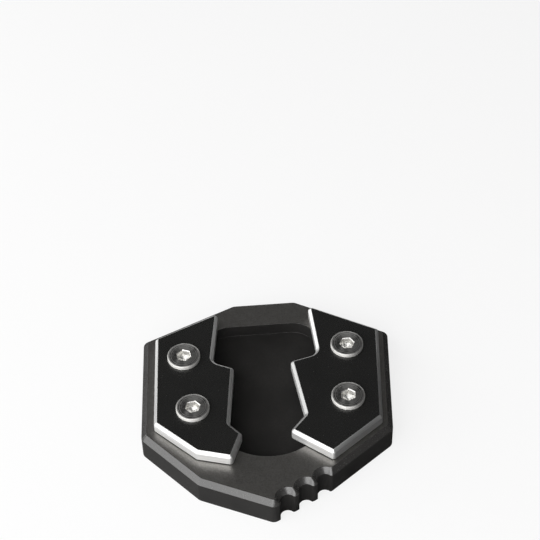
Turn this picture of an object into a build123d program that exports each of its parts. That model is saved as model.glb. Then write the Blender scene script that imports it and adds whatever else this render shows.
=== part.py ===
"""Foot enlarger for a motorcycle side stand, in millimetres.

A base plate with a pocket in its top, and two clamp plates held down over the pocket by four screws.
+Z is up, -Y is the front, and the origin is the middle of the base plate's underside.
Places are X to the right and Y to the rear, from the middle of the base's outline.
"""
import os
from math import cos, radians, sin

from build123d import *

# Base plate outline
BASE_WIDTH = 81.7            # across the widest corners, left front to right rear
BASE_LENGTH = 83.6           # front corner to rear edge
LEFT_TAPER = 1.5             # how far the left side leans in towards the rear
LEFT_FRONT_Y = -12.55        # front end of the left side
LEFT_REAR_Y = 27.7           # rear end of the left side
RIGHT_TAPER = 3.5            # how far the right side leans in towards the front
RIGHT_FRONT_Y = -15.5        # front end of the right side
RIGHT_REAR_Y = 25.0          # rear end of the right side
FRONT_CORNER_X = -1.75       # the foremost corner
SHOULDER_X = -23.95          # corner between the foremost one and the left side
SHOULDER_Y = -31.4
SCALLOPED_SIDE_LENGTH = 20.8
SCALLOPED_SIDE_TURN = 29.0   # degrees from the X axis
REAR_EDGE_X = 1.2            # middle of the flat across the rear
REAR_EDGE_WIDTH = 20.4

# Base plate section
BASE_THICK = 9.6
BASE_TOP_CHAMFER = 1.6
BASE_TOP_CORNER = 0.9        # radius left at the top face's corners inside the chamfer
BASE_BOTTOM_CHAMFER = 0.4

# Scallops in the side to the right of the front corner
SCALLOP_COUNT = 3
SCALLOP_RADIUS = 2.3
SCALLOP_START = 4.8          # front corner to the first scallop's middle
SCALLOP_PITCH = 6.8

# Pocket in the base's top
POCKET_X = -0.7
POCKET_FRONT_Y = -23.6
POCKET_REAR_Y = 31.0
POCKET_WIDTH = 36.0
POCKET_FRONT_RADIUS = 18.8
POCKET_REAR_CORNER = 8.0
POCKET_DEPTH = 4.5

# Clamp plates
PLATE_THICK = 4.0
PLATE_CHAMFER = 0.9
PLATE_TOP_CORNER = 0.3       # radius left at the top face's corners inside the chamfer
RECESS_CORNER = 3.0          # radius in the corner of the recess at the rear of the inner edge

# Left clamp plate: margins from the base's sides, then its corners from the left front round to the rear
LEFT_MARGIN = 4.2
REAR_LEFT_MARGIN = 4.3
LEFT_PLATE_FRONT_Y = -10.9
LEFT_PLATE_SHOULDER = (-23.95, -23.15)
LEFT_PLATE_FRONT = (-13.2, -26.2)
LEFT_TIP = (-9.55, -17.0)
LEFT_WAIST = (-13.2, -12.7)
LEFT_JAW = (-10.6, 10.0)
LEFT_RECESS = (-17.25, 13.1)
LEFT_RECESS_LEAN = 7.9       # how far the recess wall leans in towards the rear, degrees

# Right clamp plate: margins from the base's sides, then its corners from the front round to the rear
RIGHT_MARGIN = 3.3
FRONT_RIGHT_MARGIN = 3.0
REAR_RIGHT_MARGIN = 3.8
RIGHT_TIP = (5.1, -17.1)
RIGHT_TIP_FLARE = 51.3       # how far the front flank swings out to the right, degrees from the Y axis
RIGHT_WAIST = (10.3, -11.05)
RIGHT_JAW = (7.6, 11.3)
RIGHT_RECESS = (16.5, 13.7)
RIGHT_RECESS_LEAN = 3.2

# Screws: M6 with a low head and a hexagon socket
SCREW_DIAMETER = 6.0
SCREW_TIP_SETBACK = 1.0      # base's underside to the screw's tip
SCREW_TIP_CHAMFER = 0.6
HEAD_DIAMETER = 10.5
HEAD_HEIGHT = 1.2
HEAD_CHAMFER = 0.15
SOCKET_ACROSS_FLATS = 4.0
SOCKET_DEPTH = 2.2
FRONT_SCREW_SPREAD = 48.6
FRONT_SCREWS_Y = -6.2
REAR_SCREW_SPREAD = 52.6
REAR_SCREWS_Y = 15.4
RIGHT_SCREWS_SHIFT = 0.45    # how far the right plate's screws sit behind the left plate's
SCREW_HOLE_CLEARANCE = 0.6   # on the diameter, in the plates
THREAD_CLEARANCE = 0.1       # on the diameter, in the base's tapped holes

# Worked out from the sizes above
BASE_CORNER = BASE_TOP_CHAMFER + BASE_TOP_CORNER
PLATE_CORNER = PLATE_CHAMFER + PLATE_TOP_CORNER
PLATE_TOP = BASE_THICK + PLATE_THICK
SCREW_LENGTH = PLATE_TOP - SCREW_TIP_SETBACK
SCREW_HOLE_DIAMETER = SCREW_DIAMETER + SCREW_HOLE_CLEARANCE
TAPPED_HOLE_DIAMETER = SCREW_DIAMETER + THREAD_CLEARANCE
SCREW_PLACES = [
    (side * spread / 2, y + shift)
    for spread, y in ((FRONT_SCREW_SPREAD, FRONT_SCREWS_Y), (REAR_SCREW_SPREAD, REAR_SCREWS_Y))
    for side, shift in ((-1, 0), (1, RIGHT_SCREWS_SHIFT))
]
FRONT_CORNER = (FRONT_CORNER_X, -BASE_LENGTH / 2)
SCALLOPS_END = (
    FRONT_CORNER[0] + SCALLOPED_SIDE_LENGTH * cos(radians(SCALLOPED_SIDE_TURN)),
    FRONT_CORNER[1] + SCALLOPED_SIDE_LENGTH * sin(radians(SCALLOPED_SIDE_TURN)),
)
RIGHT_FRONT = (BASE_WIDTH / 2 - RIGHT_TAPER, RIGHT_FRONT_Y)
RIGHT_REAR = (BASE_WIDTH / 2, RIGHT_REAR_Y)
REAR_RIGHT = (REAR_EDGE_X + REAR_EDGE_WIDTH / 2, BASE_LENGTH / 2)
REAR_LEFT = (REAR_EDGE_X - REAR_EDGE_WIDTH / 2, BASE_LENGTH / 2)
LEFT_REAR = (LEFT_TAPER - BASE_WIDTH / 2, LEFT_REAR_Y)
LEFT_FRONT = (-BASE_WIDTH / 2, LEFT_FRONT_Y)
SHOULDER = (SHOULDER_X, SHOULDER_Y)
BASE_CORNERS = [
    FRONT_CORNER,
    SCALLOPS_END,
    RIGHT_FRONT,
    RIGHT_REAR,
    REAR_RIGHT,
    REAR_LEFT,
    LEFT_REAR,
    LEFT_FRONT,
    SHOULDER,
]
UP = (Align.CENTER, Align.CENTER, Align.MIN)
DOWN = (Align.CENTER, Align.CENTER, Align.MAX)


def inset_side(start, end, margin):
    """A side of the base moved inwards by a margin, as a point and a direction."""
    direction = (Vector(*end) - Vector(*start)).normalized()
    return Vector(*start) + direction.rotate(Axis.Z, 90) * margin, direction


def leaning(point, degrees):
    """A line through a point, swung clockwise from the Y axis by an angle."""
    return Vector(*point), Vector(sin(radians(degrees)), cos(radians(degrees)))


def meet(line, other):
    """The point where two lines cross."""
    point, direction = line
    other_point, other_direction = other
    reach = (other_point - point).cross(other_direction).Z / direction.cross(other_direction).Z
    crossing = point + direction * reach
    return crossing.X, crossing.Y


def at_height(line, y):
    """The point of a line at a place along Y."""
    return meet(line, (Vector(0, y), Vector(1, 0)))


def rounded_face(corners, radii):
    """A flat face through the corners, each rounded by its own radius."""
    return make_face(FilletPolyline(*corners, radius=radii, close=True))


def pocket_outline():
    """The pocket from above: a round front, straight flanks and rounded rear corners."""
    length = POCKET_REAR_Y - POCKET_FRONT_Y
    straight = Pos(POCKET_X, POCKET_FRONT_Y + length / 2) * Rectangle(POCKET_WIDTH, length)
    straight = fillet(straight.vertices().group_by(Axis.Y)[-1], POCKET_REAR_CORNER)
    nose = Pos(POCKET_X, POCKET_FRONT_Y + POCKET_FRONT_RADIUS) * Circle(POCKET_FRONT_RADIUS)
    behind = length - POCKET_FRONT_RADIUS
    nose += Pos(POCKET_X, POCKET_REAR_Y - behind / 2) * Rectangle(2 * POCKET_FRONT_RADIUS, behind)
    return straight & nose


def scallop_cutter():
    """One scallop: an upright round cut, opened out at the top by the base's own chamfer."""
    bore = Cylinder(SCALLOP_RADIUS, BASE_THICK, align=UP)
    opening = Cone(SCALLOP_RADIUS, SCALLOP_RADIUS + BASE_TOP_CHAMFER, BASE_TOP_CHAMFER, align=UP)
    return bore + Pos(0, 0, BASE_THICK - BASE_TOP_CHAMFER) * opening


def base_plate():
    """The base: a chamfered slab with scallops, a pocket and tapped holes."""
    slab = extrude(rounded_face(BASE_CORNERS, [BASE_CORNER] * len(BASE_CORNERS)), BASE_THICK)
    slab = chamfer(slab.faces().sort_by(Axis.Z)[-1].edges(), BASE_TOP_CHAMFER)
    slab = chamfer(slab.faces().sort_by(Axis.Z)[0].edges(), BASE_BOTTOM_CHAMFER)
    along = radians(SCALLOPED_SIDE_TURN)
    for index in range(SCALLOP_COUNT):
        reach = SCALLOP_START + index * SCALLOP_PITCH
        place = Pos(FRONT_CORNER[0] + reach * cos(along), FRONT_CORNER[1] + reach * sin(along))
        slab -= place * scallop_cutter()
    slab -= Pos(0, 0, BASE_THICK - POCKET_DEPTH) * extrude(pocket_outline(), POCKET_DEPTH)
    for x, y in SCREW_PLACES:
        slab -= Pos(x, y) * Cylinder(TAPPED_HOLE_DIAMETER / 2, BASE_THICK, align=UP)
    return slab


def clamp_plate(corners, recess):
    """A clamp plate from its corners: rounded, chamfered round the top and drilled for the screws."""
    radii = [RECESS_CORNER if corner == recess else PLATE_CORNER for corner in corners]
    plate = Pos(0, 0, BASE_THICK) * extrude(rounded_face(corners, radii), PLATE_THICK)
    plate = chamfer(plate.faces().sort_by(Axis.Z)[-1].edges(), PLATE_CHAMFER)
    for x, y in SCREW_PLACES:
        plate -= Pos(x, y, BASE_THICK) * Cylinder(SCREW_HOLE_DIAMETER / 2, PLATE_THICK, align=UP)
    return plate


def left_clamp_plate():
    """The left plate, whose left and rear sides follow the base."""
    outer = inset_side(LEFT_REAR, LEFT_FRONT, LEFT_MARGIN)
    rear = inset_side(REAR_LEFT, LEFT_REAR, REAR_LEFT_MARGIN)
    corners = [
        meet(rear, outer),
        at_height(outer, LEFT_PLATE_FRONT_Y),
        LEFT_PLATE_SHOULDER,
        LEFT_PLATE_FRONT,
        LEFT_TIP,
        LEFT_WAIST,
        LEFT_JAW,
        LEFT_RECESS,
        meet(leaning(LEFT_RECESS, LEFT_RECESS_LEAN), rear),
    ]
    return clamp_plate(corners, LEFT_RECESS)


def right_clamp_plate():
    """The right plate, whose front, right and rear sides follow the base."""
    front = inset_side(SCALLOPS_END, RIGHT_FRONT, FRONT_RIGHT_MARGIN)
    outer = inset_side(RIGHT_FRONT, RIGHT_REAR, RIGHT_MARGIN)
    rear = inset_side(RIGHT_REAR, REAR_RIGHT, REAR_RIGHT_MARGIN)
    corners = [
        RIGHT_TIP,
        meet(leaning(RIGHT_TIP, -RIGHT_TIP_FLARE), front),
        meet(front, outer),
        meet(outer, rear),
        meet(leaning(RIGHT_RECESS, -RIGHT_RECESS_LEAN), rear),
        RIGHT_RECESS,
        RIGHT_JAW,
        RIGHT_WAIST,
    ]
    return clamp_plate(corners, RIGHT_RECESS)


def clamp_screw():
    """One screw, with the underside of its head at Z = 0."""
    head = Cylinder(HEAD_DIAMETER / 2, HEAD_HEIGHT, align=UP)
    head = chamfer(head.edges().group_by(Axis.Z)[-1], HEAD_CHAMFER)
    shank = Cylinder(SCREW_DIAMETER / 2, SCREW_LENGTH, align=DOWN)
    shank = chamfer(shank.edges().group_by(Axis.Z)[0], SCREW_TIP_CHAMFER)
    hexagon = RegularPolygon(SOCKET_ACROSS_FLATS / 2, 6, major_radius=False)
    socket = Pos(0, 0, HEAD_HEIGHT - SOCKET_DEPTH) * extrude(hexagon, SOCKET_DEPTH)
    return head + shank - socket


def clamp_screws():
    """The four screws, a group of separate solids."""
    return Compound([Pos(x, y, PLATE_TOP) * clamp_screw() for x, y in SCREW_PLACES])


def main():
    """Build each piece and write it out, with the origin at the middle of the base's underside."""
    os.makedirs("parts", exist_ok=True)
    base = base_plate()
    middle = base.bounding_box().center()
    pieces = {
        "base_plate": base,
        "left_clamp_plate": left_clamp_plate(),
        "right_clamp_plate": right_clamp_plate(),
        "clamp_screws": clamp_screws(),
    }
    for node, shape in pieces.items():
        export_step(Pos(-middle.X, -middle.Y) * shape, f"parts/{node}.step")


main()
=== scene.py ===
"""Looks of a side stand foot enlarger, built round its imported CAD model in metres.

The base and the clamp plates keep their CAD shapes, and get their broken edges, worn teeth and machined
finishes here. The screws are turned again in full, with rounded head edges, hexagon sockets and cut threads.
"""

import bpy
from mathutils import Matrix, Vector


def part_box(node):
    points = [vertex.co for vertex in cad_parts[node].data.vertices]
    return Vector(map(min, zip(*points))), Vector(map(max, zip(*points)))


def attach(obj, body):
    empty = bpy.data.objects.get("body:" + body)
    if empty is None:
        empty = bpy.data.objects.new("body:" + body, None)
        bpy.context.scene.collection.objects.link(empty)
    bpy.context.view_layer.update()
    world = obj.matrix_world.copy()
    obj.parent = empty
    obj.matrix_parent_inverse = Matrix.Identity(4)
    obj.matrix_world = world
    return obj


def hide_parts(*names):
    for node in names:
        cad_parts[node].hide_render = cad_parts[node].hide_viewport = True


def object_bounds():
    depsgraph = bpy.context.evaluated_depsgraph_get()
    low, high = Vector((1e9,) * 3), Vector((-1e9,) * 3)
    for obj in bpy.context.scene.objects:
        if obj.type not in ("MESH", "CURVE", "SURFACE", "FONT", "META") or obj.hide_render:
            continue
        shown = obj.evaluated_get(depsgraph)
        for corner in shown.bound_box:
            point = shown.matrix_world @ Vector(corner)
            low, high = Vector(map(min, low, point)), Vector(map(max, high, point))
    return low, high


bl_info = {
    "name": "Foot enlarger",
    "version": (1, 0, 0),
    "blender": (4, 5, 0),
    "location": "View3D > Sidebar > Foot enlarger",
    "description": "Dresses a side stand foot enlarger in its machined and anodised finishes",
    "category": "Object",
}

from math import cos, exp, pi, radians, sin, sqrt, tan

import bmesh
import bpy
from mathutils import Matrix, Vector

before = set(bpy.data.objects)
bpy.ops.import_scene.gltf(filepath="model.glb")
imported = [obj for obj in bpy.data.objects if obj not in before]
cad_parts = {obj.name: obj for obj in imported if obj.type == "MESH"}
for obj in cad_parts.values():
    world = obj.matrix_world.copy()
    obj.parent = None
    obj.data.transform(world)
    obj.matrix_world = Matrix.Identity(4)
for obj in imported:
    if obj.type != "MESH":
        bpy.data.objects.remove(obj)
CAD_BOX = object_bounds()
BODY = "root"
MM = 0.001
PLATES_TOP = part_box("left_clamp_plate")[1].z
SCREWS_LOW, SCREWS_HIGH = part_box("clamp_screws")

# Copying a CAD mesh
WELD = 0.001 * MM               # points closer than this are one point
FLAT_ANGLE = radians(1.0)       # faces that turn less than this are one flat face
EDGE_ANGLE = radians(25.0)      # edges that turn more than this are broken
LEVEL = 0.999                   # a face whose normal is this upright is a top or an underside
UPRIGHT = 0.2                   # a face whose normal is flatter than this is a wall
HOLE_REACH = 4.0 * MM           # a rim nearer to a screw's axis than this is its hole's

# Finishes, in the order of each piece's material slots
BLASTED, LAPPED, TRIMMED = 0, 1, 2      # the base's walls, its top and its chamfers
SATIN, BARE = 0, 1                      # a clamp plate's faces and its cut edges
TURNED, TUMBLED, PUNCHED = 0, 1, 2      # a screw's top and thread, its head's side and its socket

# Refractive index of the glassy oxide skin that anodising grows
SATIN_IOR = 1.6                 # as it grows on an etched face
TRIMMED_IOR = 1.7               # after a seal has filled its pores
BLASTED_IOR = 1.33              # where blasted dents trap most of what it would mirror

# The scalloped side of the base, as the CAD cuts it
SIDE_START = Vector((-1.704, -41.953, 0.0)) * MM        # the foremost corner
SIDE_TURN = radians(29.0)                               # from the X axis
SIDE_LENGTH = 20.8 * MM
NEXT_TURN = radians(8.8)                                # how far the next side turns in
SCALLOPS = [along * MM for along in (4.8, 11.6, 18.4)]  # their middles along the side
SCALLOP_RADIUS = 2.3 * MM
TOP_CHAMFER = 1.6 * MM
BELL = [step / 8 for step in range(-24, 25)]            # where wear is averaged, in widths of the wear

# Screws
TURN_STEPS = 96                 # points round a screw, a multiple of the socket's six sides
THREAD_STEPS = 12               # rings to each turn of thread
THREAD_DEPTH = 0.6134           # a metric thread's depth, root flat and crest flat, in pitches
ROOT_FLAT = 0.25
CREST_FLAT = 0.125
HEAD_ROUND = ((0.24, 0.4), (0.65, 0.0))     # the head's edge: how far down and in, in widths of the edge
HEAD_BREAK = 0.05 * MM          # the chamfer under the head
SOCKET_LIP = 0.2 * MM           # the chamfer round the socket's mouth
SOCKET_DRILL = 0.46             # radius of the hole drilled for the socket, in widths across its flats
DRILL_SLOPE = radians(31.0)     # of the point that the drill leaves
SOCKET_TURNS = [radians(turn) for turn in (12.0, 40.0, 24.0, 3.0)]      # where each screw came tight

# Stage, in metres
PAPER_RADIUS = 2.4              # of the flat floor
PAPER_BEND = 0.6                # radius of the bend round it
PAPER_RISE = 1.2                # height of the backdrop
PAPER_STEPS = 128               # points round the paper
PAPER_GLOW = 0.8                # share of the seen paper that is plain white, where the rest keeps the shadow
PAPER_GAP = 0.05 * MM           # from the part down to the paper
CARD_GAP = 0.02 * MM            # from the part down to the level cards, which lie over the paper
CARD_REACH = 0.2                # from the middle of a card to its sides
UPRIGHT_CARD = Vector((0.13, 0.08, 0.194))      # its middle, from the middle of the part
LEVEL_CARDS = ((0.2, 0.0), (-0.2, 0.2))         # their middles in plan
SOFTBOXES = {                   # direction from the part, distance, width and height
    "key": ((-0.57, -0.56, 0.60), 0.9, 1.5, 0.9),
    "top": ((-0.10, -0.66, 0.74), 0.6, 0.45, 0.35),
    "side": ((-0.84, 0.42, 0.36), 0.5, 0.26, 0.15),
}


def linear(hex_colour):
    """The linear colour of an sRGB hex value such as #1b1a19."""
    parts = [int(hex_colour[i:i + 2], 16) / 255 for i in (1, 3, 5)]
    return tuple(c / 12.92 if c <= 0.04045 else ((c + 0.055) / 1.055) ** 2.4 for c in parts)


def per_metre(size_mm):
    """The texture scale at which a pattern repeats about every so many millimetres."""
    return 1 / (size_mm * MM)


def add_node(tree, kind, sockets=None, **settings):
    """Add a node with its settings, and link or set the sockets that are given."""
    node = tree.nodes.new(kind)
    for name, value in settings.items():
        setattr(node, name, value)
    for name, value in (sockets or {}).items():
        if isinstance(value, bpy.types.NodeSocket):
            tree.links.new(value, node.inputs[name])
        else:
            node.inputs[name].default_value = value
    return node


def new_material(name):
    """An empty node material, and its node tree."""
    material = bpy.data.materials.new(name)
    material.use_nodes = True
    material.node_tree.nodes.clear()
    return material, material.node_tree


def rgba(colour):
    """A colour with full alpha, as a colour socket takes it."""
    return (*colour, 1.0)


# Settings

class BaseSettings(bpy.types.PropertyGroup):
    """Sizes and finish of the base plate."""

    edge_break: bpy.props.FloatProperty(
        name="Edge break", description="Width of the round on each machined edge",
        default=0.28 * MM, min=0.0, unit="LENGTH", subtype="DISTANCE")
    tooth_round: bpy.props.FloatProperty(
        name="Tooth round", description="How far the edges of the teeth between the scallops are worn",
        default=0.4 * MM, min=0.05 * MM, unit="LENGTH", subtype="DISTANCE")
    hole_countersink: bpy.props.FloatProperty(
        name="Hole countersink", description="Chamfer where a tapped hole meets the underside",
        default=0.5 * MM, min=0.0, unit="LENGTH", subtype="DISTANCE")
    grain: bpy.props.FloatProperty(
        name="Grain", description="Size of the dents in the anodised faces",
        default=0.45 * MM, min=0.05 * MM, unit="LENGTH", subtype="DISTANCE")
    colour: bpy.props.FloatVectorProperty(
        name="Blasted dye", description="Black dye on the blasted walls, whose dents hold the light",
        default=linear("#201f1e"), min=0.0, max=1.0, size=3, subtype="COLOR")
    roughness: bpy.props.FloatProperty(
        name="Blasted roughness", description="Middle roughness of the blasted walls",
        default=0.75, min=0.0, max=1.0, subtype="FACTOR")
    # The same dye set paler on the chamfers: painted sheen on top of the sheen their gloss gives
    trim_colour_painted_sheen: bpy.props.FloatVectorProperty(
        name="Trimmed dye", description="The same dye on the trimmed chamfers, where it looks lighter",
        default=linear("#323130"), min=0.0, max=1.0, size=3, subtype="COLOR")
    trim_roughness: bpy.props.FloatProperty(
        name="Trimmed roughness", description="Middle roughness of the trimmed chamfers",
        default=0.25, min=0.0, max=1.0, subtype="FACTOR")
    top_metal: bpy.props.FloatVectorProperty(
        name="Top face", description="Dark metal of the lapped top face, as its reflections show it",
        default=linear("#908e8b"), min=0.0, max=1.0, size=3, subtype="COLOR")
    top_tint: bpy.props.FloatVectorProperty(
        name="Top tint", description="What the dye leaves of the top face's reflections at a glancing view",
        default=linear("#a0a0a0"), min=0.0, max=1.0, size=3, subtype="COLOR")
    top_roughness: bpy.props.FloatProperty(
        name="Top roughness", description="Middle roughness of the lapped top face",
        default=0.39, min=0.0, max=1.0, subtype="FACTOR")


class PlateSettings(bpy.types.PropertyGroup):
    """Sizes and finish of the two clamp plates."""

    edge_break: bpy.props.FloatProperty(
        name="Edge break", description="Width of the round on each machined edge",
        default=0.12 * MM, min=0.0, unit="LENGTH", subtype="DISTANCE")
    bottom_break: bpy.props.FloatProperty(
        name="Bottom break", description="Chamfer round the underside, a dark line over the base",
        default=0.4 * MM, min=0.0, unit="LENGTH", subtype="DISTANCE")
    colour: bpy.props.FloatVectorProperty(
        name="Dye", description="Black dye of the anodised faces",
        default=linear("#171716"), min=0.0, max=1.0, size=3, subtype="COLOR")
    metal: bpy.props.FloatVectorProperty(
        name="Bare metal", description="Colour of the bare machined edges",
        default=linear("#e3e3e2"), min=0.0, max=1.0, size=3, subtype="COLOR")
    tool_mark: bpy.props.FloatProperty(
        name="Tool marks", description="Spacing of the cutter's lines along the edges",
        default=0.35 * MM, min=0.05 * MM, unit="LENGTH", subtype="DISTANCE")


class ScrewSettings(bpy.types.PropertyGroup):
    """Sizes and finish of the clamp screws."""

    head_diameter: bpy.props.FloatProperty(
        name="Head diameter", description="Across the head",
        default=10.5 * MM, min=0.0, unit="LENGTH", subtype="DISTANCE")
    head_height: bpy.props.FloatProperty(
        name="Head height", description="From the plate to the top of the head",
        default=SCREWS_HIGH.z - PLATES_TOP, min=0.0, unit="LENGTH", subtype="DISTANCE")
    head_edge: bpy.props.FloatProperty(
        name="Head edge", description="Width of the rounded edge at the top of the head",
        default=0.34 * MM, min=0.0, unit="LENGTH", subtype="DISTANCE")
    socket: bpy.props.FloatProperty(
        name="Socket", description="Across the flats of the hexagon socket",
        default=4.0 * MM, min=0.0, unit="LENGTH", subtype="DISTANCE")
    socket_depth: bpy.props.FloatProperty(
        name="Socket depth", description="Depth of the socket's flat sides",
        default=2.2 * MM, min=0.0, unit="LENGTH", subtype="DISTANCE")
    thread: bpy.props.FloatProperty(
        name="Thread", description="Outer diameter of the thread",
        default=6.0 * MM, min=0.0, unit="LENGTH", subtype="DISTANCE")
    pitch: bpy.props.FloatProperty(
        name="Pitch", description="Rise of one turn of the thread",
        default=1.0 * MM, min=0.1 * MM, unit="LENGTH", subtype="DISTANCE")
    # Darker than bare stainless steel: partly the steel's grey, partly painted shade on the head's top and
    # the thread
    colour: bpy.props.FloatVectorProperty(
        name="Turned steel", description="Colour of the stainless steel where the lathe faced it",
        default=linear("#a3a2a0"), min=0.0, max=1.0, size=3, subtype="COLOR")
    turning: bpy.props.FloatProperty(
        name="Turning lines", description="Spacing of the lathe's rings on the head",
        default=0.3 * MM, min=0.05 * MM, unit="LENGTH", subtype="DISTANCE")
    # Near white, paler than the steel itself: painted light on the head's side and in the socket
    pale_colour_painted_light: bpy.props.FloatVectorProperty(
        name="Formed steel", description="Colour of the stainless steel on the head's side and in the socket",
        default=linear("#f0efec"), min=0.0, max=1.0, size=3, subtype="COLOR")
    side_roughness: bpy.props.FloatProperty(
        name="Side roughness", description="Middle roughness of the head's tumbled side",
        default=0.68, min=0.0, max=1.0, subtype="FACTOR")
    socket_roughness: bpy.props.FloatProperty(
        name="Socket roughness", description="Middle roughness of the punched socket",
        default=0.38, min=0.0, max=1.0, subtype="FACTOR")


class StageSettings(bpy.types.PropertyGroup):
    """Camera and lamps."""

    camera_place: bpy.props.FloatVectorProperty(
        name="Camera place", description="Where the camera stands",
        default=(-16.508 * MM, -306.422 * MM, 373.530 * MM), size=3, unit="LENGTH", subtype="XYZ")
    camera_pitch: bpy.props.FloatProperty(
        name="Camera pitch", description="How far the camera looks down",
        default=radians(45.051), unit="ROTATION", subtype="ANGLE")
    camera_heading: bpy.props.FloatProperty(
        name="Camera heading", description="How far the camera turns to the left from straight ahead",
        default=radians(-3.320), unit="ROTATION", subtype="ANGLE")
    camera_roll: bpy.props.FloatProperty(
        name="Camera roll", description="How far the camera leans, anticlockwise seen from behind",
        default=radians(-1.5), unit="ROTATION", subtype="ANGLE")
    lens: bpy.props.FloatProperty(
        name="Lens", description="Focal length on a 36 mm sensor, in millimetres",
        default=100.0, min=1.0, unit="CAMERA")
    key: bpy.props.FloatProperty(
        name="Key light", description="Brightness of the softbox to the front left, white being 1",
        default=2.8, min=0.0)
    top: bpy.props.FloatProperty(
        name="Top light", description="Brightness of the softbox high in front, white being 1",
        default=1.6, min=0.0)
    side: bpy.props.FloatProperty(
        name="Side light", description="Brightness of the low softbox to the rear left, white being 1",
        default=4.8, min=0.0)
    room: bpy.props.FloatProperty(
        name="Room light", description="Brightness of the room all round, white being 1",
        default=0.12, min=0.0)


class EnlargerSettings(bpy.types.PropertyGroup):
    """Everything that a user may change."""

    base: bpy.props.PointerProperty(type=BaseSettings)
    plates: bpy.props.PointerProperty(type=PlateSettings)
    screws: bpy.props.PointerProperty(type=ScrewSettings)
    stage: bpy.props.PointerProperty(type=StageSettings)


# Materials

def black_anodised(name, dye, ior, roughness, grit, grain_size):
    """Aluminium dyed black and anodised over a fine grain.

    The eye sees a deep warm black with a fine even grain. Where beads have blasted it, the light sinks in.
    Where a cutter has trimmed it, the sealed skin gives a broad soft sheen on what faces the light, and a
    paler dye given there is painted sheen. Grit is how strongly the grain shows, from 0 to 1.
    """
    material, tree = new_material(name)
    place = add_node(tree, "ShaderNodeTexCoord").outputs["Object"]
    # Real dents are too fine to show, so the grain is drawn several times coarser
    grain = add_node(tree, "ShaderNodeTexNoise", {
        "Vector": place, "Scale": 1 / grain_size, "Detail": 3.0, "Roughness": 0.6})
    clouds = add_node(tree, "ShaderNodeTexNoise", {
        "Vector": place, "Scale": per_metre(14.0), "Detail": 2.0})
    tone = add_node(tree, "ShaderNodeMath", {
        0: grain.outputs["Fac"], 1: clouds.outputs["Fac"]}, operation="MULTIPLY")
    contrast, wander = 0.4 * grit, 0.07 * grit
    colour = add_node(tree, "ShaderNodeValToRGB", {"Fac": tone.outputs["Value"]})
    colour.color_ramp.elements[0].position = 0.12
    colour.color_ramp.elements[0].color = rgba([c * (1 - contrast) for c in dye])
    colour.color_ramp.elements[1].position = 0.42
    colour.color_ramp.elements[1].color = rgba([c * (1 + contrast) for c in dye])
    dullness = add_node(tree, "ShaderNodeMapRange", {
        "Value": grain.outputs["Fac"], "From Min": 0.3, "From Max": 0.7,
        "To Min": roughness - wander, "To Max": roughness + wander})
    dents = add_node(tree, "ShaderNodeBump", {
        "Height": grain.outputs["Fac"], "Strength": 0.35 * grit, "Distance": 0.05 * MM})
    skin = add_node(tree, "ShaderNodeBsdfPrincipled", {
        "Base Color": colour.outputs["Color"], "Roughness": dullness.outputs["Result"],
        "Normal": dents.outputs["Normal"], "IOR": ior})
    add_node(tree, "ShaderNodeOutputMaterial", {"Surface": skin.outputs["BSDF"]})
    return material


def lapped_black_anodised(settings):
    """Aluminium lapped flat before it is dyed black and anodised.

    The eye sees a dark grey metal, in which the bright walls that stand on it glow softly.
    """
    material, tree = new_material("lapped_black_anodised_aluminium")
    place = add_node(tree, "ShaderNodeTexCoord").outputs["Object"]
    # Lapped grit is too fine to show, so it is drawn as coarse as the blasted grain
    grain = add_node(tree, "ShaderNodeTexNoise", {
        "Vector": place, "Scale": 1 / settings.grain, "Detail": 3.0, "Roughness": 0.6})
    colour = add_node(tree, "ShaderNodeValToRGB", {"Fac": grain.outputs["Fac"]})
    colour.color_ramp.elements[0].position = 0.3
    colour.color_ramp.elements[0].color = rgba([c * 0.82 for c in settings.top_metal])
    colour.color_ramp.elements[1].position = 0.7
    colour.color_ramp.elements[1].color = rgba([c * 1.15 for c in settings.top_metal])
    roughness = add_node(tree, "ShaderNodeMapRange", {
        "Value": grain.outputs["Fac"], "From Min": 0.3, "From Max": 0.7,
        "To Min": settings.top_roughness - 0.07, "To Max": settings.top_roughness + 0.07})
    dents = add_node(tree, "ShaderNodeBump", {
        "Height": grain.outputs["Fac"], "Strength": 0.2, "Distance": 0.05 * MM})
    skin = add_node(tree, "ShaderNodeBsdfPrincipled", {
        "Base Color": colour.outputs["Color"], "Roughness": roughness.outputs["Result"],
        "Normal": dents.outputs["Normal"], "Metallic": 1.0, "Specular Tint": rgba(settings.top_tint)})
    add_node(tree, "ShaderNodeOutputMaterial", {"Surface": skin.outputs["BSDF"]})
    return material


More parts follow.
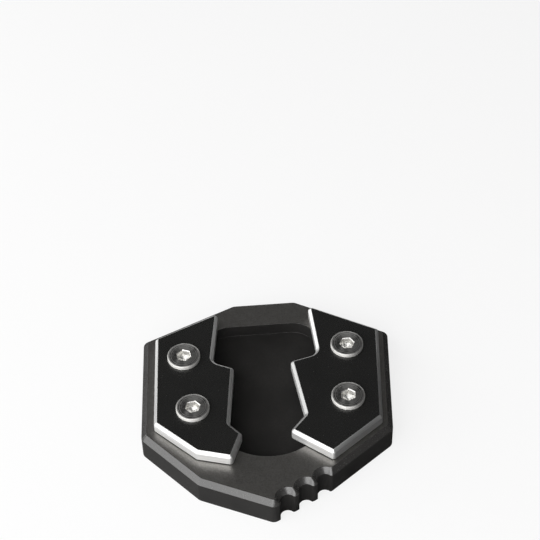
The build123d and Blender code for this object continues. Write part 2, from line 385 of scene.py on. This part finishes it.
def satin_black_anodised(settings):
    """Rolled aluminium plate, lightly etched, dyed black and anodised.

    The eye sees an even, nearly neutral black with a satin gloss in which bright neighbours show softly.
    """
    material, tree = new_material("satin_black_anodised_aluminium")
    place = add_node(tree, "ShaderNodeTexCoord").outputs["Object"]
    # Etched pits are too fine to show, so they are drawn several times coarser
    etch = add_node(tree, "ShaderNodeTexNoise", {
        "Vector": place, "Scale": per_metre(0.45), "Detail": 3.0, "Roughness": 0.55})
    clouds = add_node(tree, "ShaderNodeTexNoise", {
        "Vector": place, "Scale": per_metre(11.0), "Detail": 3.0})
    colour = add_node(tree, "ShaderNodeValToRGB", {"Fac": clouds.outputs["Fac"]})
    colour.color_ramp.elements[0].position = 0.3
    colour.color_ramp.elements[0].color = rgba([c * 0.85 for c in settings.colour])
    colour.color_ramp.elements[1].position = 0.7
    colour.color_ramp.elements[1].color = rgba([c * 1.12 for c in settings.colour])
    roughness = add_node(tree, "ShaderNodeMapRange", {
        "Value": etch.outputs["Fac"], "From Min": 0.3, "From Max": 0.7, "To Min": 0.24, "To Max": 0.33})
    dents = add_node(tree, "ShaderNodeBump", {
        "Height": etch.outputs["Fac"], "Strength": 0.07, "Distance": 0.03 * MM})
    skin = add_node(tree, "ShaderNodeBsdfPrincipled", {
        "Base Color": colour.outputs["Color"], "Roughness": roughness.outputs["Result"],
        "Normal": dents.outputs["Normal"], "IOR": SATIN_IOR})
    add_node(tree, "ShaderNodeOutputMaterial", {"Surface": skin.outputs["BSDF"]})
    return material


def bare_machined_aluminium(settings):
    """Aluminium cut bright by an end mill after the anodising.

    The eye sees nearly white metal with fine lines that run along each edge, and light spread across them.
    """
    material, tree = new_material("bare_machined_aluminium")
    place = add_node(tree, "ShaderNodeTexCoord").outputs["Object"]
    # The cutter's lines run level round the plate, fifty times as long as they are wide
    stretched = add_node(tree, "ShaderNodeMapping", {
        "Vector": place, "Scale": (0.02, 0.02, 1.0)})
    lines = add_node(tree, "ShaderNodeTexNoise", {
        "Vector": stretched.outputs["Vector"], "Scale": 1 / settings.tool_mark, "Detail": 2.0})
    colour = add_node(tree, "ShaderNodeValToRGB", {"Fac": lines.outputs["Fac"]})
    colour.color_ramp.elements[0].position = 0.3
    colour.color_ramp.elements[0].color = rgba([c * 0.86 for c in settings.metal])
    colour.color_ramp.elements[1].position = 0.65
    colour.color_ramp.elements[1].color = rgba(settings.metal)
    roughness = add_node(tree, "ShaderNodeMapRange", {
        "Value": lines.outputs["Fac"], "From Min": 0.3, "From Max": 0.7, "To Min": 0.5, "To Max": 0.6})
    ridges = add_node(tree, "ShaderNodeBump", {
        "Height": lines.outputs["Fac"], "Strength": 0.5, "Distance": 0.06 * MM})
    along = add_node(tree, "ShaderNodeTangent", direction_type="RADIAL", axis="Z")
    skin = add_node(tree, "ShaderNodeBsdfPrincipled", {
        "Base Color": colour.outputs["Color"], "Roughness": roughness.outputs["Result"],
        "Normal": ridges.outputs["Normal"], "Metallic": 1.0,
        "Anisotropic": 0.55, "Anisotropic Rotation": 0.25, "Tangent": along.outputs["Tangent"]})
    add_node(tree, "ShaderNodeOutputMaterial", {"Surface": skin.outputs["BSDF"]})
    return material


def turned_steel_painted_shade(settings):
    """Stainless steel faced on a lathe.

    The eye sees a grey metal, partly its own grey and partly painted shade, with fine rings round the
    screw's own axis, dark and light by turns.
    """
    material, tree = new_material("turned_steel_painted_shade")
    place = add_node(tree, "ShaderNodeTexCoord").outputs["Object"]
    flat = add_node(tree, "ShaderNodeVectorMath", {0: place, 1: (1.0, 1.0, 0.0)}, operation="MULTIPLY")
    radius = add_node(tree, "ShaderNodeVectorMath", {0: flat.outputs["Vector"]}, operation="LENGTH")
    rings = add_node(tree, "ShaderNodeTexNoise", {
        "W": radius.outputs["Value"], "Scale": 1 / settings.turning, "Detail": 2.0},
        noise_dimensions="1D")
    # Smears a few millimetres wide break the rings up
    smears = add_node(tree, "ShaderNodeTexNoise", {
        "Vector": place, "Scale": per_metre(2.6), "Detail": 3.0})
    shade = add_node(tree, "ShaderNodeMapRange", {
        "Value": smears.outputs["Fac"], "From Min": 0.35, "From Max": 0.65, "To Min": -0.32, "To Max": 0.4})
    tone = add_node(tree, "ShaderNodeMath", {
        0: rings.outputs["Fac"], 1: shade.outputs["Result"]}, operation="ADD")
    colour = add_node(tree, "ShaderNodeValToRGB", {"Fac": tone.outputs["Value"]})
    colour.color_ramp.elements[0].position = 0.25
    colour.color_ramp.elements[0].color = rgba([c * 0.4 for c in settings.colour])
    colour.color_ramp.elements[1].position = 0.75
    colour.color_ramp.elements[1].color = rgba([c * 1.5 for c in settings.colour])
    roughness = add_node(tree, "ShaderNodeMapRange", {
        "Value": rings.outputs["Fac"], "From Min": 0.3, "From Max": 0.7, "To Min": 0.26, "To Max": 0.4})
    grooves = add_node(tree, "ShaderNodeBump", {
        "Height": rings.outputs["Fac"], "Strength": 0.4, "Distance": 0.04 * MM})
    around = add_node(tree, "ShaderNodeTangent", direction_type="RADIAL", axis="Z")
    skin = add_node(tree, "ShaderNodeBsdfPrincipled", {
        "Base Color": colour.outputs["Color"], "Roughness": roughness.outputs["Result"],
        "Normal": grooves.outputs["Normal"], "Metallic": 1.0,
        "Anisotropic": 0.6, "Anisotropic Rotation": 0.25, "Tangent": around.outputs["Tangent"]})
    add_node(tree, "ShaderNodeOutputMaterial", {"Surface": skin.outputs["BSDF"]})
    return material


def formed_stainless_steel(name, metal, roughness):
    """Stainless steel formed cold, smooth where a punch pressed it and frosted where it was tumbled clean.

    The eye sees a pale metal, paler than the steel itself as painted light, even and soft round the head's
    side, with white glints in the socket.
    """
    material, tree = new_material(name)
    place = add_node(tree, "ShaderNodeTexCoord").outputs["Object"]
    # Frost is too fine to show, so it is drawn several times coarser
    frost = add_node(tree, "ShaderNodeTexNoise", {
        "Vector": place, "Scale": per_metre(0.35), "Detail": 3.0, "Roughness": 0.6})
    colour = add_node(tree, "ShaderNodeValToRGB", {"Fac": frost.outputs["Fac"]})
    colour.color_ramp.elements[0].position = 0.3
    colour.color_ramp.elements[0].color = rgba([c * 0.8 for c in metal])
    colour.color_ramp.elements[1].position = 0.65
    colour.color_ramp.elements[1].color = rgba(metal)
    dullness = add_node(tree, "ShaderNodeMapRange", {
        "Value": frost.outputs["Fac"], "From Min": 0.3, "From Max": 0.7,
        "To Min": roughness - 0.06, "To Max": roughness + 0.06})
    dents = add_node(tree, "ShaderNodeBump", {
        "Height": frost.outputs["Fac"], "Strength": 0.3, "Distance": 0.04 * MM})
    around = add_node(tree, "ShaderNodeTangent", direction_type="RADIAL", axis="Z")
    skin = add_node(tree, "ShaderNodeBsdfPrincipled", {
        "Base Color": colour.outputs["Color"], "Roughness": dullness.outputs["Result"],
        "Normal": dents.outputs["Normal"], "Metallic": 1.0,
        "Anisotropic": 0.6, "Anisotropic Rotation": 0.25, "Tangent": around.outputs["Tangent"]})
    add_node(tree, "ShaderNodeOutputMaterial", {"Surface": skin.outputs["BSDF"]})
    return material


def white_paper():
    """Seamless studio paper: matte white, seen as the photo's white ground with a faint shadow kept."""
    material, tree = new_material("white_studio_paper")
    rays = add_node(tree, "ShaderNodeLightPath").outputs
    seen = add_node(tree, "ShaderNodeMath", {
        0: rays["Is Camera Ray"], 1: rays["Is Glossy Ray"]}, operation="MAXIMUM")
    seen = add_node(tree, "ShaderNodeMath", {
        0: seen.outputs["Value"], 1: rays["Is Transmission Ray"]}, operation="MAXIMUM")
    share = add_node(tree, "ShaderNodeMath", {0: seen.outputs["Value"], 1: PAPER_GLOW}, operation="MULTIPLY")
    matte = add_node(tree, "ShaderNodeBsdfDiffuse", {"Color": rgba(linear("#f6f6f6"))})
    glow = add_node(tree, "ShaderNodeEmission", {"Color": rgba(linear("#ffffff")), "Strength": 1.0})
    mixed = add_node(tree, "ShaderNodeMixShader", {
        "Fac": share.outputs["Value"], 1: matte.outputs["BSDF"], 2: glow.outputs["Emission"]})
    add_node(tree, "ShaderNodeOutputMaterial", {"Surface": mixed.outputs["Shader"]})
    return material


def painted_shade_card():
    """Matte black card, which only reflections see, as a dark shape: a painted reflection of shade round the
    part.
    """
    material, tree = new_material("painted_shade_card")
    matte = add_node(tree, "ShaderNodeBsdfDiffuse", {"Color": rgba(linear("#444444"))})
    add_node(tree, "ShaderNodeOutputMaterial", {"Surface": matte.outputs["BSDF"]})
    return material


# Shapes

def cad_copy(node):
    """A CAD node's mesh with its seams welded and its flat faces made whole."""
    shell = bmesh.new()
    shell.from_mesh(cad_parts[node].data)
    bmesh.ops.remove_doubles(shell, verts=shell.verts, dist=WELD)
    bmesh.ops.dissolve_limit(shell, angle_limit=FLAT_ANGLE, verts=shell.verts, edges=shell.edges)
    bmesh.ops.recalc_face_normals(shell, faces=shell.faces)
    return shell


def to_mesh(name, shell):
    """A new mesh from a shell, which is used up."""
    mesh = bpy.data.meshes.new(name)
    shell.to_mesh(mesh)
    shell.free()
    return mesh


def place_piece(name, shell, materials, node):
    """Turn a shell into a smooth object that rides on the body, stands for its node and takes its slot."""
    mesh = to_mesh(name, shell)
    # The CAD mesh brings normals and marks of its own, which no longer fit
    for layer in ("custom_normal", "sharp_face", "sharp_edge"):
        if layer in mesh.attributes:
            mesh.attributes.remove(mesh.attributes[layer])
    mesh.shade_smooth()
    for material in materials:
        mesh.materials.append(material)
    piece = bpy.data.objects.new(name, mesh)
    bpy.context.scene.collection.objects.link(piece)
    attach(piece, BODY)
    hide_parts(node)
    return piece


def break_bottom(shell, bottom, width, near=None):
    """Chamfer the sharp edges round an underside, or only those near one of some places in plan."""
    rims = [
        edge for edge in shell.edges
        if all(abs(v.co.z - bottom) < WELD for v in edge.verts)
        and edge.calc_face_angle(0.0) > EDGE_ANGLE
        and (near is None or any((edge.verts[0].co.xy - place).length < HOLE_REACH for place in near))
    ]
    bmesh.ops.bevel(
        shell, geom=rims, offset=width, offset_type="OFFSET", segments=1,
        profile=0.5, affect="EDGES", clamp_overlap=False, material=-1)


def side_depth(along, inset):
    """How deep the scalloped side lies behind its straight line.

    The place is a distance along the side, and the inset says how far up the chamfer it is.
    """
    depth = inset + max(0.0, along - SIDE_LENGTH) * tan(NEXT_TURN)
    reach = SCALLOP_RADIUS + inset
    for middle in SCALLOPS:
        if abs(along - middle) < reach:
            depth = max(depth, sqrt(reach ** 2 - (along - middle) ** 2))
    return depth


def worn_depth(along, inset, wear):
    """The same depth, averaged by a bell curve as wide as the wear, which rounds the teeth."""
    shares = [(offset, exp(-0.5 * offset ** 2)) for offset in BELL]
    total = sum(share for offset, share in shares)
    return sum(share * side_depth(along + offset * wear, inset) for offset, share in shares) / total


def tooth_cutter(wear, top):
    """A block whose inner face follows the worn side, a hair outside it where there is nothing to round."""
    hair, outside, step = 0.03 * MM, 3.0 * MM, 0.1 * MM
    first, last = 1.6 * MM, 24.0 * MM       # along the side, from near the corner to past the last scallop
    below, above = 9.0 * MM, 0.4 * MM       # past the underside and past the top
    low = top - TOP_CHAMFER
    columns = [first + step * index for index in range(round((last - first) / step) + 1)]
    climbs = [step * index for index in range(round((TOP_CHAMFER + above) / step) + 1)]
    rows = [(low - below, 0.0)] + [(low + climb, climb) for climb in climbs]
    along_side = Vector((cos(SIDE_TURN), sin(SIDE_TURN), 0.0))
    inward = Vector((-sin(SIDE_TURN), cos(SIDE_TURN), 0.0))
    shell = bmesh.new()
    inner, outer = [], []
    for height, inset in rows:
        up = Vector((0.0, 0.0, height))
        depths = [worn_depth(x, inset, wear) - hair for x in columns]
        inner.append([
            shell.verts.new(SIDE_START + along_side * x + inward * depth + up)
            for x, depth in zip(columns, depths)])
        outer.append([shell.verts.new(SIDE_START + along_side * x - inward * outside + up) for x in columns])
    for row in range(len(rows) - 1):
        for column in range(len(columns) - 1):
            for grid in (inner, outer):
                face = shell.faces.new((
                    grid[row][column], grid[row][column + 1],
                    grid[row + 1][column + 1], grid[row + 1][column]))
                face.material_index = TRIMMED if row else BLASTED
        for column in (0, -1):
            shell.faces.new((
                inner[row][column], inner[row + 1][column], outer[row + 1][column], outer[row][column]))
    for row in (0, -1):
        for column in range(len(columns) - 1):
            shell.faces.new((
                inner[row][column], inner[row][column + 1], outer[row][column + 1], outer[row][column]))
    bmesh.ops.recalc_face_normals(shell, faces=shell.faces)
    return shell


def cut_away(piece, shell):
    """Take a shell's volume out of a piece, with the piece's modifiers applied first."""
    mesh = to_mesh("cutter", shell)
    cutter = bpy.data.objects.new("cutter", mesh)
    bpy.context.scene.collection.objects.link(cutter)
    cut = piece.modifiers.new("cut", "BOOLEAN")
    cut.object = cutter
    cut.operation = "DIFFERENCE"
    cut.solver = "EXACT"
    bpy.context.view_layer.update()
    graph = bpy.context.evaluated_depsgraph_get()
    whole = piece.data
    piece.data = bpy.data.meshes.new_from_object(piece.evaluated_get(graph), depsgraph=graph)
    piece.modifiers.clear()
    bpy.data.meshes.remove(whole)
    bpy.data.objects.remove(cutter)
    bpy.data.meshes.remove(mesh)


def break_edges(piece, width, material_index):
    """Round every sharp edge a little."""
    rounding = piece.modifiers.new("broken edges", "BEVEL")
    rounding.limit_method = "ANGLE"
    rounding.angle_limit = EDGE_ANGLE
    rounding.width = width
    rounding.segments = 2
    rounding.loop_slide = False
    rounding.material = material_index


def flatten(piece):
    """Keep the flat faces flat in the light."""
    flattening = piece.modifiers.new("flat faces", "WEIGHTED_NORMAL")
    flattening.keep_sharp = True


def screw_places():
    """The axes of the four screws in plan, one in each corner of their common box."""
    middle = (SCREWS_LOW + SCREWS_HIGH) / 2
    points = [v.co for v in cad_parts["clamp_screws"].data.vertices]
    places = []
    for right in (False, True):
        for rear in (False, True):
            own = [p for p in points if (p.x > middle.x) == right and (p.y > middle.y) == rear]
            places.append(Vector((
                (min(p.x for p in own) + max(p.x for p in own)) / 2,
                (min(p.y for p in own) + max(p.y for p in own)) / 2)))
    return places


def thread_radius(settings, height, angle, tip):
    """Radius of the threaded shank at a height and an angle, cut back to a cone at its tip."""
    depth = THREAD_DEPTH * settings.pitch
    flank = (1.0 - ROOT_FLAT - CREST_FLAT) / 2
    phase = (height / settings.pitch - angle / (2 * pi)) % 1.0
    rise = min(1.0, max(0.0, (abs(phase - 0.5) - ROOT_FLAT / 2) / flank))
    crest = settings.thread / 2
    return min(crest - depth * (1.0 - rise), crest - depth + (height - tip))


def hexagon_radius(across_flats, angle):
    """Radius of a hexagon at an angle from one of its corners."""
    from_flat = (angle % (pi / 3)) - pi / 6
    return across_flats / 2 / cos(from_flat)


def screw_rings(settings, length):
    """The rings of a screw's surface, from the bottom of its socket, over the head and down to its tip.

    Each ring is a height over the head's underside, a function that gives the radius at an angle, and the
    finish between it and the ring before.
    """
    head = settings.head_diameter / 2
    top = settings.head_height
    edge = settings.head_edge
    floor = top - settings.socket_depth
    drill = SOCKET_DRILL * settings.socket
    point = drill / 2
    rings = [
        (floor - (drill - point) * tan(DRILL_SLOPE), lambda a: point, PUNCHED),
        (floor, lambda a: drill, PUNCHED),
        (floor, lambda a: hexagon_radius(settings.socket, a), PUNCHED),
        (top - SOCKET_LIP, lambda a: hexagon_radius(settings.socket, a), PUNCHED),
        (top, lambda a: hexagon_radius(settings.socket, a) + SOCKET_LIP, PUNCHED),
        (top, lambda a: head - edge, TURNED),
        *((top - down * edge, lambda a, inset=inset: head - inset * edge, TUMBLED)
          for down, inset in HEAD_ROUND),
        (HEAD_BREAK, lambda a: head, TUMBLED),
        (0.0, lambda a: head - HEAD_BREAK, TUMBLED),
        (0.0, lambda a: settings.thread / 2, TURNED),
    ]
    steps = int(length / settings.pitch * THREAD_STEPS)
    for step in range(1, steps + 1):
        height = -length * step / steps
        rings.append((height, lambda a, height=height: thread_radius(settings, height, a, -length), TURNED))
    return rings


def turned_screw(settings, length):
    """One screw as a closed shell, with the underside of its head at height 0."""
    shell = bmesh.new()
    angles = [2 * pi * step / TURN_STEPS for step in range(TURN_STEPS)]
    rings = screw_rings(settings, length)
    loops = [
        [shell.verts.new((radius(a) * cos(a), radius(a) * sin(a), height)) for a in angles]
        for height, radius, finish in rings]
    for inner, outer, (height, radius, finish) in zip(loops, loops[1:], rings[1:]):
        for step in range(TURN_STEPS):
            after = (step + 1) % TURN_STEPS
            face = shell.faces.new((inner[step], outer[step], outer[after], inner[after]))
            face.material_index = finish
    for loop, finish in ((loops[0], PUNCHED), (loops[-1], TURNED)):
        middle = shell.verts.new((0.0, 0.0, loop[0].co.z))
        for step in range(TURN_STEPS):
            face = shell.faces.new((loop[step], loop[(step + 1) % TURN_STEPS], middle))
            face.material_index = finish
    bmesh.ops.remove_doubles(shell, verts=shell.verts, dist=WELD)
    bmesh.ops.recalc_face_normals(shell, faces=shell.faces)
    return shell


def area_lamp(name, direction, distance, width, height, brightness, aim):
    """A softbox of a given brightness that looks at a point from a direction."""
    lamp = bpy.data.lights.new(name, "AREA")
    lamp.shape = "RECTANGLE"
    lamp.size = width
    lamp.size_y = height
    lamp.energy = brightness * pi * width * height
    holder = bpy.data.objects.new(name, lamp)
    away = Vector(direction).normalized()
    holder.location = aim + away * distance
    holder.rotation_euler = away.to_track_quat("Z", "Y").to_euler()
    bpy.context.scene.collection.objects.link(holder)


# Operators

class ENLARGER_OT_base(bpy.types.Operator):
    """Make the black base plate with its lapped top, trimmed edges, worn teeth and countersunk holes"""

    bl_idname = "enlarger.base_plate"
    bl_label = "Base plate"

    def execute(self, context):
        settings = context.scene.enlarger.base
        shell = cad_copy("base_plate")
        low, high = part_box("base_plate")
        break_bottom(shell, low.z, settings.hole_countersink, screw_places())
        for face in shell.faces:
            if face.normal.z > LEVEL and face.calc_center_median().z > high.z - WELD:
                face.material_index = LAPPED
            elif UPRIGHT < abs(face.normal.z) < LEVEL:
                face.material_index = TRIMMED
        finishes = [
            black_anodised(
                "blasted_black_anodised_aluminium", dye=settings.colour, ior=BLASTED_IOR,
                roughness=settings.roughness, grit=1.0, grain_size=settings.grain),
            lapped_black_anodised(settings),
            # The trimmed chamfers take a paler copy of the dye, which is painted sheen
            black_anodised(
                "trimmed_black_anodised_painted_sheen", dye=settings.trim_colour_painted_sheen, ior=TRIMMED_IOR,
                roughness=settings.trim_roughness, grit=0.5, grain_size=settings.grain),
        ]
        piece = place_piece("base_plate_blasted", shell, finishes, "base_plate")
        break_edges(piece, settings.edge_break, TRIMMED)
        cut_away(piece, tooth_cutter(settings.tooth_round, high.z))
        flatten(piece)
        return {"FINISHED"}


class ENLARGER_OT_plates(bpy.types.Operator):
    """Make the two clamp plates with black faces and bare machined edges"""

    bl_idname = "enlarger.clamp_plates"
    bl_label = "Clamp plates"

    def execute(self, context):
        settings = context.scene.enlarger.plates
        finishes = [satin_black_anodised(settings), bare_machined_aluminium(settings)]
        for node in ("left_clamp_plate", "right_clamp_plate"):
            shell = cad_copy(node)
            break_bottom(shell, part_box(node)[0].z, settings.bottom_break)
            for face in shell.faces:
                black = face.normal.z > LEVEL or face.normal.z < -UPRIGHT
                face.material_index = SATIN if black else BARE
            piece = place_piece(node + "_machined", shell, finishes, node)
            break_edges(piece, settings.edge_break, BARE)
            flatten(piece)
        return {"FINISHED"}


class ENLARGER_OT_screws(bpy.types.Operator):
    """Make the four turned screws, each with its socket at an angle of its own"""

    bl_idname = "enlarger.clamp_screws"
    bl_label = "Clamp screws"

    def execute(self, context):
        settings = context.scene.enlarger.screws
        seat = SCREWS_HIGH.z - settings.head_height
        # The head's side and the socket take the near-white steel, which is painted light
        pale = settings.pale_colour_painted_light
        finishes = [
            turned_steel_painted_shade(settings),
            formed_stainless_steel("tumbled_steel_painted_light", pale, settings.side_roughness),
            formed_stainless_steel("punched_steel_painted_light", pale, settings.socket_roughness),
        ]
        for index, (place, turn) in enumerate(zip(screw_places(), SOCKET_TURNS)):
            shell = turned_screw(settings, seat - SCREWS_LOW.z)
            bmesh.ops.transform(shell, matrix=Matrix.Rotation(turn, 4, "Z"), verts=shell.verts)
            piece = place_piece(
                f"clamp_screw_{index + 1}", shell, finishes, "clamp_screws")
            piece.location = (place.x, place.y, seat)
            piece.data.set_sharp_from_angle(angle=EDGE_ANGLE)
        return {"FINISHED"}


class ENLARGER_OT_stage(bpy.types.Operator):
    """Lay the white paper, hang the softboxes, stand the cards and set the camera"""

    bl_idname = "enlarger.stage"
    bl_label = "Stage"

    def execute(self, context):
        settings = context.scene.enlarger.stage
        middle = (CAD_BOX[0] + CAD_BOX[1]) / 2
        self.lay_paper(context)
        self.hang_lamps(context, settings, middle)
        self.stand_cards(context, middle)
        self.set_camera(context, settings)
        context.scene.view_settings.view_transform = "Standard"
        return {"FINISHED"}

    def lay_paper(self, context):
        """A round white floor that bends up into a low backdrop far from the part."""
        bends = [pi / 8 * step for step in range(5)]
        profile = [(PAPER_RADIUS + PAPER_BEND * sin(a), PAPER_BEND * (1 - cos(a))) for a in bends]
        profile.append((PAPER_RADIUS + PAPER_BEND, PAPER_RISE))
        angles = [2 * pi * step / PAPER_STEPS for step in range(PAPER_STEPS)]
        floor = CAD_BOX[0].z - PAPER_GAP
        shell = bmesh.new()
        loops = [
            [shell.verts.new((out * cos(a), out * sin(a), floor + up)) for a in angles]
            for out, up in profile]
        shell.faces.new(loops[0])
        for inner, outer in zip(loops, loops[1:]):
            for step in range(PAPER_STEPS):
                after = (step + 1) % PAPER_STEPS
                shell.faces.new((inner[step], outer[step], outer[after], inner[after]))
        bmesh.ops.recalc_face_normals(shell, faces=shell.faces)
        mesh = to_mesh("paper_sweep", shell)
        mesh.materials.append(white_paper())
        paper = bpy.data.objects.new("paper_sweep", mesh)
        context.scene.collection.objects.link(paper)

    def hang_lamps(self, context, settings, middle):
        """A large softbox to the front left, small ones high in front and low behind, and a dim room."""
        for name, (direction, distance, width, height) in SOFTBOXES.items():
            area_lamp(f"{name}_softbox", direction, distance, width, height, getattr(settings, name), middle)
        world = bpy.data.worlds.new("studio_room")
        world.use_nodes = True
        world.node_tree.nodes.clear()
        room = add_node(world.node_tree, "ShaderNodeBackground", {
            "Color": rgba(linear("#ffffff")), "Strength": settings.room})
        add_node(world.node_tree, "ShaderNodeOutputWorld", {"Surface": room.outputs["Background"]})
        context.scene.world = world

    def stand_cards(self, context, middle):
        """Black cards to the right and on the paper, seen only in reflections: painted shade that gives
        bright metal its dark edges.
        """
        shell = bmesh.new()
        bmesh.ops.create_grid(shell, x_segments=1, y_segments=1, size=CARD_REACH)
        mesh = to_mesh("painted_shade_card", shell)
        mesh.materials.append(painted_shade_card())
        places = [Matrix.Translation(middle + UPRIGHT_CARD) @ Matrix.Rotation(pi / 2, 4, "Y")]
        places += [Matrix.Translation((x, y, CAD_BOX[0].z - CARD_GAP)) for x, y in LEVEL_CARDS]
        for place in places:
            card = bpy.data.objects.new("painted_shade_card", mesh)
            card.matrix_world = place
            # Hidden from the camera, from diffuse light and from shadows, a card only paints shade into
            # reflections
            card.visible_camera = False
            card.visible_diffuse = False
            card.visible_shadow = False
            context.scene.collection.objects.link(card)

    def set_camera(self, context, settings):
        """The camera at the photo's own viewpoint."""
        data = bpy.data.cameras.new("photo_camera")
        data.sensor_width = 36.0
        data.lens = settings.lens
        data.clip_start = 1.0 * MM
        data.dof.use_dof = False
        camera = bpy.data.objects.new("photo_camera", data)
        turn = Matrix.Rotation(settings.camera_heading, 4, "Z")
        tilt = Matrix.Rotation(pi / 2 - settings.camera_pitch, 4, "X")
        lean = Matrix.Rotation(settings.camera_roll, 4, "Z")
        camera.matrix_world = Matrix.Translation(settings.camera_place) @ turn @ tilt @ lean
        context.scene.collection.objects.link(camera)
        context.scene.camera = camera


class ENLARGER_PT_panel(bpy.types.Panel):
    """The enlarger's settings and the buttons that build it"""

    bl_idname = "ENLARGER_PT_panel"
    bl_label = "Foot enlarger"
    bl_space_type = "VIEW_3D"
    bl_region_type = "UI"
    bl_category = "Foot enlarger"

    def draw(self, context):
        settings = context.scene.enlarger
        for group, operator in (("base", ENLARGER_OT_base), ("plates", ENLARGER_OT_plates),
                                ("screws", ENLARGER_OT_screws), ("stage", ENLARGER_OT_stage)):
            box = self.layout.box()
            box.operator(operator.bl_idname)
            values = getattr(settings, group)
            for name in values.__annotations__:
                box.prop(values, name)


CLASSES = (
    BaseSettings, PlateSettings, ScrewSettings, StageSettings, EnlargerSettings,
    ENLARGER_OT_base, ENLARGER_OT_plates, ENLARGER_OT_screws, ENLARGER_OT_stage, ENLARGER_PT_panel,
)


def register():
    for cls in CLASSES:
        bpy.utils.register_class(cls)
    bpy.types.Scene.enlarger = bpy.props.PointerProperty(type=EnlargerSettings)


def unregister():
    del bpy.types.Scene.enlarger
    for cls in reversed(CLASSES):
        bpy.utils.unregister_class(cls)


def main():
    register()
    bpy.ops.enlarger.base_plate()
    bpy.ops.enlarger.clamp_plates()
    bpy.ops.enlarger.clamp_screws()
    bpy.ops.enlarger.stage()


if __name__ == "__main__":
    main()
